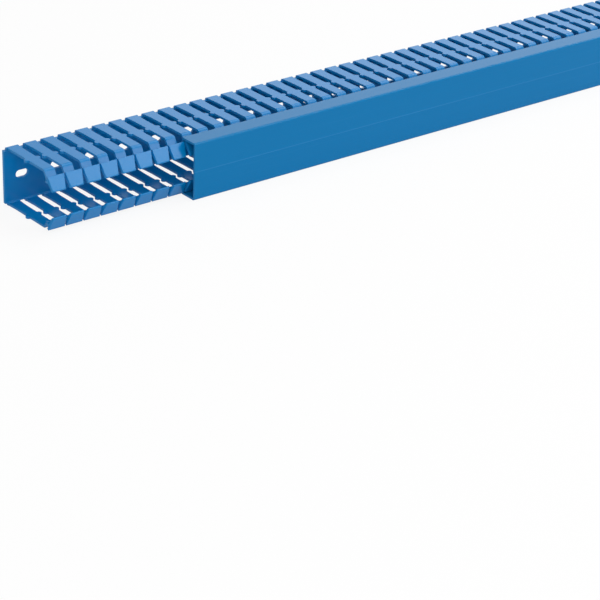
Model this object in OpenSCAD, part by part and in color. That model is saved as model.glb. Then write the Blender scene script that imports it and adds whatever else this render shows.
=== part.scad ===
// Slotted wiring duct with a clip-on cover, lying on one slotted wall.
// The origin is the middle of the back plate's outer face. X runs along the duct, the cover faces -Y.

/* [Duct] */
// Number of fingers along each wall
finger_count = 80; // [8:1:80]
// Spacing of the fingers along the duct
finger_pitch = 12.5; // [11.5:0.1:14]
// Outside width of the duct, from wall to wall
duct_w = 38; // [34:0.5:80]
// Depth from the back face to the cover's front face
duct_h = 60; // [58:0.5:80]
// Thickness of the back plate
back_t = 1.8; // [1.2:0.1:2.2]
// Thickness of the slotted walls and of the fingers
wall_t = 1.5; // [1.2:0.1:1.7]
// Radius of the rounded outer edges between back plate and walls
corner_r = 1.2; // [0.5:0.1:1.7]
// Height of the slope in the inner corners between back plate and walls
corner_slope = 1; // [0.5:0.1:1.5]

/* [Wall slots] */
// Width of a slot at the back plate's edge
slot_root_w = 4; // [3:0.1:4.2]
// Width of a slot where the wall leaves the back plate
slot_low_w = 4.5; // [4.3:0.1:4.8]
// Widest width of a slot
slot_w = 5.4; // [5:0.1:6]
// Distance from the back face to where a slot gets its widest width
slot_wide_d = 10; // [7:0.5:15]
// Width left between the two rounded nubs in a slot
throat_w = 1.7; // [1.2:0.1:2.5]
// Radius of the nubs
nub_r = 1.9; // [1.8:0.1:2.4]
// Distance from the front of the cover to the middle of the nubs
throat_from_front = 36; // [33:0.5:37]
// Width of the gap between two finger heads at their barbs
head_gap = 1; // [0.8:0.1:1.6]
// Width of the gap between two finger heads near their tips
tip_gap = 3.5; // [2:0.1:4]
// Length that is cut off the corners of a head's tip
tip_cut = 1; // [0.8:0.1:1.8]

/* [Finger heads] */
// Distance from the front of the cover to the start of the shoulder bend
shoulder_from_front = 19; // [18:0.5:22]
// Outer radius of the shoulder bend
shoulder_r = 2.6; // [2.2:0.1:4]
// Slope of the shoulder against the wall
shoulder_angle = 58; // [50:1:62]
// How far the neck lies inside the wall's outer face
neck_inset = 4.6; // [4.4:0.1:5.4]
// How far the barb lies inside the wall's outer face
barb_inset = 1.8; // [1.8:0.1:2.4]
// Distance from the front of the cover to the barb
barb_from_front = 10.5; // [10:0.1:11]
// Length of the head's sloping face, from barb to tip
head_len = 9.6; // [8.5:0.1:11]
// Lean of the head's sloping face against the wall
head_angle = 64; // [60:1:70]

/* [Cover] */
// Thickness of the cover
cover_t = 1.4; // [1:0.1:1.4]
// Radius of the cover's outer edges
cover_r = 1.3; // [0.6:0.1:1.8]
// Thickness of the lip that hooks behind the barbs
lip_t = 1; // [0.8:0.1:1.4]
// Room between the cover's lips and the fingers
fit_gap = 0.3; // [0.2:0.05:0.4]
// How far the cover is slid along the duct
cover_shift = 100; // [0:12.5:200]

/* [Back plate holes] */
// Length of a fixing slot, from end to end
fix_len = 9; // [7:0.5:11]
// Width of a fixing slot
fix_w = 5; // [4:0.5:6.5]
// Number of finger spacings between two fixing slots
fix_every = 2; // [1:1:4]

/* [Output] */
// Which piece to draw

/* [Hidden] */
$fn = 48;
eps = 0.01;
through = 1;
duct_len = finger_count * finger_pitch;
root_d = back_t + corner_slope / 2;
root_spare = 0.15;
root_reach = wall_t + root_spare;
shoulder_d = duct_h - shoulder_from_front;
throat_d = duct_h - throat_from_front;
barb_d = duct_h - barb_from_front;
bend_d = shoulder_r * sin(shoulder_angle);
bend_s = shoulder_r * (1 - cos(shoulder_angle));
slope_len = (neck_inset - bend_s) / sin(shoulder_angle);
neck_d = shoulder_d + bend_d + slope_len * cos(shoulder_angle);
head_back_d = barb_d - wall_t * sin(head_angle);
head_back_s = barb_inset + wall_t * cos(head_angle);
neck_end_d = head_back_d + (neck_inset + wall_t - head_back_s) / tan(head_angle) + wall_t / 4;
tip_d = barb_d + head_len * cos(head_angle);
tip_cut_d = tip_cut * cos(head_angle);
lip_end_d = head_back_d - fit_gap;
flange_end_d = lip_end_d - lip_t;

// Turns a section, drawn as depth and height, into a length of the duct
module along_duct(len) {
    rotate([90, 0, 90]) linear_extrude(len, center = true) mirror([1, 0]) children();
}

// Draws a section twice, once for each wall
module both_walls() {
    translate([0, -duct_w / 2]) children();
    translate([0, duct_w / 2]) mirror([0, 1]) children();
}

// Quarter of a corner to take off, with its round side inwards
module corner_waste(r) {
    difference() {
        translate([-eps, -eps]) square(r + eps);
        translate([r, r]) circle(r);
    }
}

// Bend from the flat wall into the sloping shoulder
module shoulder_bend() {
    reach = shoulder_r + wall_t;
    intersection() {
        translate([0, shoulder_r]) difference() {
            circle(shoulder_r);
            circle(shoulder_r - wall_t);
        }
        translate([0, shoulder_r]) polygon([
            [0, 0],
            [-eps, -reach],
            [reach * tan(shoulder_angle) + eps, -reach]
        ]);
    }
}

// Section of one finger, from the back plate to its head
module finger_section() {
    square([shoulder_d, wall_t]);
    translate([back_t, wall_t]) polygon([
        [-eps, -eps],
        [corner_slope, -eps],
        [corner_slope, 0],
        [0, corner_slope],
        [-eps, corner_slope]
    ]);
    translate([shoulder_d, 0]) shoulder_bend();
    translate([shoulder_d + bend_d, bend_s]) rotate(shoulder_angle) square([slope_len, wall_t]);
    translate([neck_d, neck_inset]) neck_section();
    translate([barb_d, barb_inset]) rotate(head_angle) head_section();
}

// Short neck that carries the head, with a round joint to the shoulder
module neck_section() {
    intersection() {
        circle(wall_t);
        rotate(shoulder_angle) translate([-eps, 0]) square(2 * wall_t);
        translate([-2 * wall_t, 0]) square([2 * wall_t + eps, 2 * wall_t]);
    }
    square([neck_end_d - neck_d, wall_t]);
}

// Sloping head plate with a round tip
module head_section() {
    square([head_len - wall_t / 2, wall_t]);
    translate([head_len - wall_t / 2, wall_t / 2]) circle(d = wall_t);
}

// Section of the whole base
module base_section() {
    difference() {
        union() {
            translate([0, -duct_w / 2]) square([back_t, duct_w]);
            both_walls() finger_section();
        }
        both_walls() corner_waste(corner_r);
    }
}

// Outline of one wall slot in front of the back plate, seen along the width of the duct
module slot_outline() {
    difference() {
        polygon([
            [-slot_low_w / 2, root_d],
            [slot_low_w / 2, root_d],
            [slot_w / 2, slot_wide_d],
            [slot_w / 2, head_back_d - through],
            [-slot_w / 2, head_back_d - through],
            [-slot_w / 2, slot_wide_d]
        ]);
        for (side = [-1, 1]) translate([side * (throat_w / 2 + nub_r), throat_d]) circle(nub_r);
    }
    polygon([
        [-head_gap / 2, head_back_d - 2 * through],
        [head_gap / 2, head_back_d - 2 * through],
        [head_gap / 2, barb_d],
        [tip_gap / 2, tip_d - tip_cut_d],
        [tip_gap / 2 + tip_cut, tip_d],
        [tip_gap / 2 + tip_cut, tip_d + through],
        [-tip_gap / 2 - tip_cut, tip_d + through],
        [-tip_gap / 2 - tip_cut, tip_d],
        [-tip_gap / 2, tip_d - tip_cut_d],
        [-head_gap / 2, barb_d]
    ]);
}

// Repeats an outline at every slot, extruded upwards
module at_slots(height) {
    linear_extrude(height, center = true) mirror([0, 1])
        for (i = [0:finger_count]) translate([i * finger_pitch - duct_len / 2, 0]) children();
}

// All slots: through both walls in front of the back plate, and through the two edges of the plate
module wall_slots() {
    at_slots(duct_w + 2 * through) slot_outline();
    for (side = [-1, 1]) translate([0, 0, side * (duct_w / 2 + through - (root_reach + through) / 2)])
        at_slots(root_reach + through)
            translate([-slot_root_w / 2, -through]) square([slot_root_w, root_d + 2 * through]);
}

// Long fixing slot through the back plate
module fixing_slot() {
    reach = (fix_len - fix_w) / 2;
    for (side = [-1, 1]) translate([side * reach, 0, 0]) rotate([90, 0, 0])
        cylinder(d = fix_w, h = back_t + 2 * through, center = true);
    cube([2 * reach, back_t + 2 * through, fix_w], center = true);
}

// Base with its slotted walls, extruded and punched as one piece
module duct_base() {
    color([0.16, 0.45, 0.71]) difference() {
        along_duct(duct_len) base_section();
        wall_slots();
        for (i = [1:fix_every:finger_count - 1])
            translate([i * finger_pitch - duct_len / 2, -back_t / 2, 0]) fixing_slot();
    }
}

// Section of the cover: front plate, two flanges and their hooking lips
module cover_section() {
    difference() {
        translate([flange_end_d, -duct_w / 2]) square([duct_h - flange_end_d, duct_w]);
        translate([flange_end_d - through, cover_t - duct_w / 2])
            square([duct_h - flange_end_d - cover_t + through, duct_w - 2 * cover_t]);
        both_walls() translate([duct_h, 0]) mirror([1, 0]) corner_waste(cover_r);
    }
    both_walls() translate([flange_end_d, cover_t - eps]) cover_lip();
}

// Lip with a round edge
module cover_lip() {
    lip_len = neck_inset - fit_gap - cover_t + eps;
    square([lip_t, lip_len - lip_t / 2]);
    translate([lip_t / 2, lip_len - lip_t / 2]) circle(d = lip_t);
}

// Cover, slid back along the base
module cover() {
    color([0.09, 0.46, 0.69]) translate([cover_shift, 0, 0]) along_duct(duct_len) cover_section();
}

duct_base();
cover();
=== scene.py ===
"""Looks of the slotted wiring duct.

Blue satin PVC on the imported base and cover, in a plain white studio.
"""

import math

import bpy
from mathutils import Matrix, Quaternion, Vector


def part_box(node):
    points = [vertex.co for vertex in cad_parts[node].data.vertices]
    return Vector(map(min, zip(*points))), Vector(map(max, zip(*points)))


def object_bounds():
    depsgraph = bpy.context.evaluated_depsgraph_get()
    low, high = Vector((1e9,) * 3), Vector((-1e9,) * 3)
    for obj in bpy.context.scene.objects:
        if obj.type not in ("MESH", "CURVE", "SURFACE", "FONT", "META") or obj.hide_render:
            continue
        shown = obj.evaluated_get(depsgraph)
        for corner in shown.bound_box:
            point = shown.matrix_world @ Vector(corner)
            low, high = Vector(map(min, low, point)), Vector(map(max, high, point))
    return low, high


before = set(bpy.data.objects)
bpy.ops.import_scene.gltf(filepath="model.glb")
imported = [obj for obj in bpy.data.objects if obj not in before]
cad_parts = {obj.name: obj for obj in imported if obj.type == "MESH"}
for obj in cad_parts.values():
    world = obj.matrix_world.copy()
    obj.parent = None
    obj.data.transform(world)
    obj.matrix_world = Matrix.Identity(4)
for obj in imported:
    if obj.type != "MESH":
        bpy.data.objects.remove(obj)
cad_low, cad_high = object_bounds()

# Units
MM = 0.001

# Places on the duct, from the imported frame
base_low, base_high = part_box("duct_base")
cover_low, cover_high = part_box("cover")
FLOOR_Z = cad_low.z
FRONT_Y = cover_low.y
MIDDLE_Z = (cover_low.z + cover_high.z) / 2

# Sizes of the finish
END_SKIN = 0.15 * MM
CENTRE_LINE_W = 0.5 * MM
EDGE_ROUND = 0.3 * MM
EDGE_SAMPLES = 4
RELIEF_DEPTH = 0.012 * MM

# Colours of the PVC, linear: the deeper and the lighter blue of each piece, the paler blue of cuts
BASE_BLUES = ((0.0, 0.190, 0.495, 1), (0.0, 0.206, 0.527, 1))
COVER_BLUES = ((0.0, 0.164, 0.400, 1), (0.0, 0.178, 0.428, 1))
BLUE_PALE = (0.05, 0.28, 0.60, 1)
BASE_SHINE = 0.22
COVER_SHINE = 0.12
SKIN_ROUGH = 0.16
PVC_IOR = 1.5

# Noise of the finish: waves to the metre, along X, Y and Z or the same all ways
DIE_WIDE_WAVES = (1.2, 260, 260)
DIE_FINE_WAVES = (5, 1500, 1500)
SAW_MARK_WAVES = (0, 500, 3200)
CLOUD_WAVES = 9
GRAIN_WAVES = 2600

# Share of each pattern in the step from the deeper to the lighter blue
DIE_WIDE_TONE = 0.5
CLOUD_TONE = 0.5

# Share of the paler blue
DIE_FINE_PALE = 0.1
CUT_PALE = 0.1
SAWN_PALE = 0.22
SAW_MARK_PALE = 0.2
CENTRE_LINE_PALE = 0.3

# Roughness on top of the skin's own
DIE_WIDE_ROUGH = 0.05
CLOUD_ROUGH = 0.04
CUT_ROUGH = 0.2
SAWN_ROUGH = 0.1

# Height of the relief, in parts of its depth
DIE_WIDE_RELIEF = 0.5
DIE_FINE_RELIEF = 0.35
GRAIN_RELIEF = 0.15
SAW_MARK_RELIEF = 2
CENTRE_LINE_RELIEF = 1.5

# Ranges: how far a cut face turns towards the duct's end, and which of the fine lines show
CUT_TURN = (0.45, 0.8)
DIE_FINE_SHOWN = (0.55, 0.8)

# Photograph's camera: place, a point it looks at, its turn about the line of sight, its lens
CAMERA_AT = Vector((-1.0882, -0.98504, 0.49464))
CAMERA_TO = Vector((-0.42768, -0.19854, -0.02208))
CAMERA_ROLL = math.radians(2.4045)
CAMERA_LENS = 122.18
SENSOR = 36
SIGHT_AXIS = (0, 0, 1)

# Studio: the floor's size in metres, its tone, the white share of it, the sky's strength as a light
FLOOR_SIZE = 12
FLOOR_TONE = (0.9, 0.9, 0.9, 1)
FLOOR_WHITE_SHARE = 0.88
SKY_DIFFUSE = 0.4
WHITE = (1, 1, 1, 1)

# Lamps: place, the point each one faces, width and height in metres, power in watts
SOFTBOXES = {
    "softbox_above": ((1.0, -0.1, 1.75), (-0.1, 0.0, 0.0), (1.8, 1.8), 27),
    "softbox_front": ((0.64, -1.6, 0.93), (-0.45, -0.05, 0.015), (0.55, 0.7), 7.5),
    "softbox_behind": ((1.57, 1.9, 0.9), (-0.2, 0.0, 0.0), (1.3, 0.8), 2),
    "softbox_fill": ((-1.3, -1.3, 1.2), (-0.3, 0.0, 0.0), (1.3, 1.3), 12),
}

# Sockets of the Mix node for colours, which have no names of their own
MIX_SHARE, MIX_FIRST, MIX_SECOND, MIX_RESULT = 0, 6, 7, 2


class Socket:
    """Output of a node. Arithmetic on it adds Math nodes to the same tree."""

    def __init__(self, tree, output):
        self.tree = tree
        self.output = output

    def math(self, operation, first, second=0.0):
        return self.tree.node("ShaderNodeMath", {"operation": operation}, {0: first, 1: second})

    def __add__(self, other):
        return self.math("ADD", self, other)

    def __radd__(self, other):
        return self.math("ADD", other, self)

    def __sub__(self, other):
        return self.math("SUBTRACT", self, other)

    def __rsub__(self, other):
        return self.math("SUBTRACT", other, self)

    def __mul__(self, other):
        return self.math("MULTIPLY", self, other)

    def __rmul__(self, other):
        return self.math("MULTIPLY", other, self)

    def __abs__(self):
        return self.math("ABSOLUTE", self)

    def __lt__(self, other):
        return self.math("LESS_THAN", self, other)

    def __gt__(self, other):
        return self.math("GREATER_THAN", self, other)

    def either(self, other):
        return self.math("MAXIMUM", self, other)


class Tree:
    """Node tree of a material or of the world, filled from nothing."""

    def __init__(self, owner):
        owner.use_nodes = True
        self.nodes = owner.node_tree.nodes
        self.links = owner.node_tree.links
        self.nodes.clear()

    def node(self, kind, settings=None, sockets=None, output=0):
        """Adds one node: its settings come first, then the values or links of its sockets."""
        made = self.nodes.new(kind)
        for key, value in (settings or {}).items():
            setattr(made, key, value)
        for key, value in (sockets or {}).items():
            if isinstance(value, Socket):
                self.links.new(value.output, made.inputs[key])
            else:
                made.inputs[key].default_value = value
        return Socket(self, made.outputs[output]) if made.outputs else made

    def parts(self, vector):
        """The three numbers of a vector."""
        split = self.node("ShaderNodeSeparateXYZ", None, {"Vector": vector}).output.node
        return [Socket(self, out) for out in split.outputs]

    def stretched(self, vector, factors):
        return self.node("ShaderNodeVectorMath", {"operation": "MULTIPLY"}, {0: vector, 1: factors})

    def noise(self, vector, scale=1.0, detail=2.0, roughness=0.5):
        values = {"Vector": vector, "Scale": scale, "Detail": detail, "Roughness": roughness}
        return self.node("ShaderNodeTexNoise", None, values)

    def ramp(self, value, low, high):
        """Number that runs smoothly from 0 at low to 1 at high."""
        values = {"Value": value, "From Min": low, "From Max": high}
        return self.node("ShaderNodeMapRange", {"interpolation_type": "SMOOTHSTEP"}, values)

    def mix(self, share, first, second):
        """Colour between two colours."""
        values = {MIX_SHARE: share, MIX_FIRST: first, MIX_SECOND: second}
        return self.node("ShaderNodeMix", {"data_type": "RGBA"}, values, output=MIX_RESULT)

    def bump(self, height, depth, normal):
        values = {"Height": height, "Distance": depth, "Strength": 1.0, "Normal": normal}
        return self.node("ShaderNodeBump", None, values)


def satin_pvc(name, blues, shine, sawn_ends, centre_line):
    """Extruded PVC: fine lines along the extrusion, a faint grain, matt punched and sawn edges."""
    material = bpy.data.materials.new(name)
    tree = Tree(material)
    point = tree.node("ShaderNodeTexCoord", output="Object")
    along, out, up = tree.parts(point)
    facing_end, _, _ = tree.parts(tree.node("ShaderNodeNewGeometry", output="Normal"))

    # Lines that the extrusion die leaves, wide ones and fine ones
    die_wide = tree.noise(tree.stretched(point, DIE_WIDE_WAVES))
    die_fine = tree.noise(tree.stretched(point, DIE_FINE_WAVES), detail=3.0, roughness=0.6)
    # Slow change of tone over the whole length, and the grain of the skin
    cloud = tree.noise(point, CLOUD_WAVES, detail=3.0)
    grain = tree.noise(point, GRAIN_WAVES)

    # Cut surfaces face along the duct: the punched slots and the sawn ends
    cut = tree.ramp(abs(facing_end), *CUT_TURN)
    at_left, at_right = [abs(along - end) < END_SKIN for end in sawn_ends]
    sawn = at_left.either(at_right)
    saw_marks = tree.noise(tree.stretched(point, SAW_MARK_WAVES)) * sawn

    fine_lines = tree.ramp(die_fine, *DIE_FINE_SHOWN)
    cut_pale = (cut * CUT_PALE).either(sawn * SAWN_PALE + saw_marks * SAW_MARK_PALE)
    tone = tree.mix(die_wide * DIE_WIDE_TONE + cloud * CLOUD_TONE, *blues)
    tone = tree.mix(fine_lines * DIE_FINE_PALE, tone, BLUE_PALE)
    tone = tree.mix(cut_pale, tone, BLUE_PALE)
    rough = SKIN_ROUGH + die_wide * DIE_WIDE_ROUGH + cloud * CLOUD_ROUGH
    rough = rough + cut * CUT_ROUGH + sawn * SAWN_ROUGH
    height = die_wide * DIE_WIDE_RELIEF + die_fine * DIE_FINE_RELIEF + grain * GRAIN_RELIEF
    height = height + saw_marks * SAW_MARK_RELIEF
    if centre_line:
        on_front = out < FRONT_Y + END_SKIN
        line = (1 - tree.ramp(abs(up - MIDDLE_Z), 0.0, CENTRE_LINE_W)) * on_front
        tone = tree.mix(line * CENTRE_LINE_PALE, tone, BLUE_PALE)
        height = height + line * CENTRE_LINE_RELIEF

    rounded = tree.node("ShaderNodeBevel", {"samples": EDGE_SAMPLES}, {"Radius": EDGE_ROUND})
    surface = tree.node("ShaderNodeBsdfPrincipled", None, {
        "Base Color": tone,
        "Roughness": rough,
        "IOR": PVC_IOR,
        "Specular IOR Level": shine,
        "Normal": tree.bump(height, RELIEF_DEPTH, rounded),
    })
    tree.node("ShaderNodeOutputMaterial", None, {"Surface": surface})
    return material


def seen_directly(tree):
    """1 for the rays that show the background itself: camera, glossy and transmission rays."""
    path = tree.node("ShaderNodeLightPath").output.node.outputs
    rays = ("Is Camera Ray", "Is Glossy Ray", "Is Transmission Ray")
    camera, glossy, through = [Socket(tree, path[ray]) for ray in rays]
    return camera.either(glossy).either(through)


def studio_floor():
    """Pale floor that keeps a soft share of the shadow."""
    bpy.ops.mesh.primitive_plane_add(size=FLOOR_SIZE, location=(0, 0, FLOOR_Z))
    floor = bpy.context.object
    floor.name = "studio_floor"
    material = bpy.data.materials.new("studio_floor")
    tree = Tree(material)
    matt = tree.node("ShaderNodeBsdfDiffuse", None, {"Color": FLOOR_TONE})
    white = tree.node("ShaderNodeEmission", None, {"Color": WHITE, "Strength": 1.0})
    share = seen_directly(tree) * FLOOR_WHITE_SHARE
    surface = tree.node("ShaderNodeMixShader", None, {0: share, 1: matt, 2: white})
    tree.node("ShaderNodeOutputMaterial", None, {"Surface": surface})
    floor.data.materials.append(material)


def studio_sky():
    """White all round for the eye and for reflections, softer as a light."""
    world = bpy.data.worlds.new("studio_sky")
    bpy.context.scene.world = world
    tree = Tree(world)
    strength = SKY_DIFFUSE + seen_directly(tree) * (1 - SKY_DIFFUSE)
    light = tree.node("ShaderNodeBackground", None, {"Color": WHITE, "Strength": strength})
    tree.node("ShaderNodeOutputWorld", None, {"Surface": light})


def softbox(name, place, target, size, power):
    """Rectangular lamp that faces a point."""
    lamp = bpy.data.lights.new(name, "AREA")
    lamp.shape = "RECTANGLE"
    lamp.size, lamp.size_y = size
    lamp.energy = power
    holder = bpy.data.objects.new(name, lamp)
    holder.location = place
    holder.rotation_mode = "QUATERNION"
    holder.rotation_quaternion = (Vector(target) - Vector(place)).to_track_quat("-Z", "Y")
    bpy.context.scene.collection.objects.link(holder)


def photo_camera():
    """Camera that sees the duct as the photograph does."""
    data = bpy.data.cameras.new("photo_camera")
    data.sensor_width = SENSOR
    data.lens = CAMERA_LENS
    camera = bpy.data.objects.new("photo_camera", data)
    camera.location = CAMERA_AT
    camera.rotation_mode = "QUATERNION"
    level = (CAMERA_TO - CAMERA_AT).to_track_quat("-Z", "Y")
    camera.rotation_quaternion = level @ Quaternion(SIGHT_AXIS, CAMERA_ROLL)
    bpy.context.scene.collection.objects.link(camera)
    bpy.context.scene.camera = camera


def dress(node, material):
    """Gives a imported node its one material."""
    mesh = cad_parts[node].data
    mesh.materials.clear()
    mesh.materials.append(material)


base_ends = (base_low.x, base_high.x)
cover_ends = (cover_low.x, cover_high.x)
dress("duct_base", satin_pvc("base_pvc", BASE_BLUES, BASE_SHINE, base_ends, centre_line=False))
dress("cover", satin_pvc("cover_pvc", COVER_BLUES, COVER_SHINE, cover_ends, centre_line=True))

studio_floor()
studio_sky()
for lamp_name, lamp_values in SOFTBOXES.items():
    softbox(lamp_name, *lamp_values)
photo_camera()

bpy.context.scene.view_settings.view_transform = "Standard"
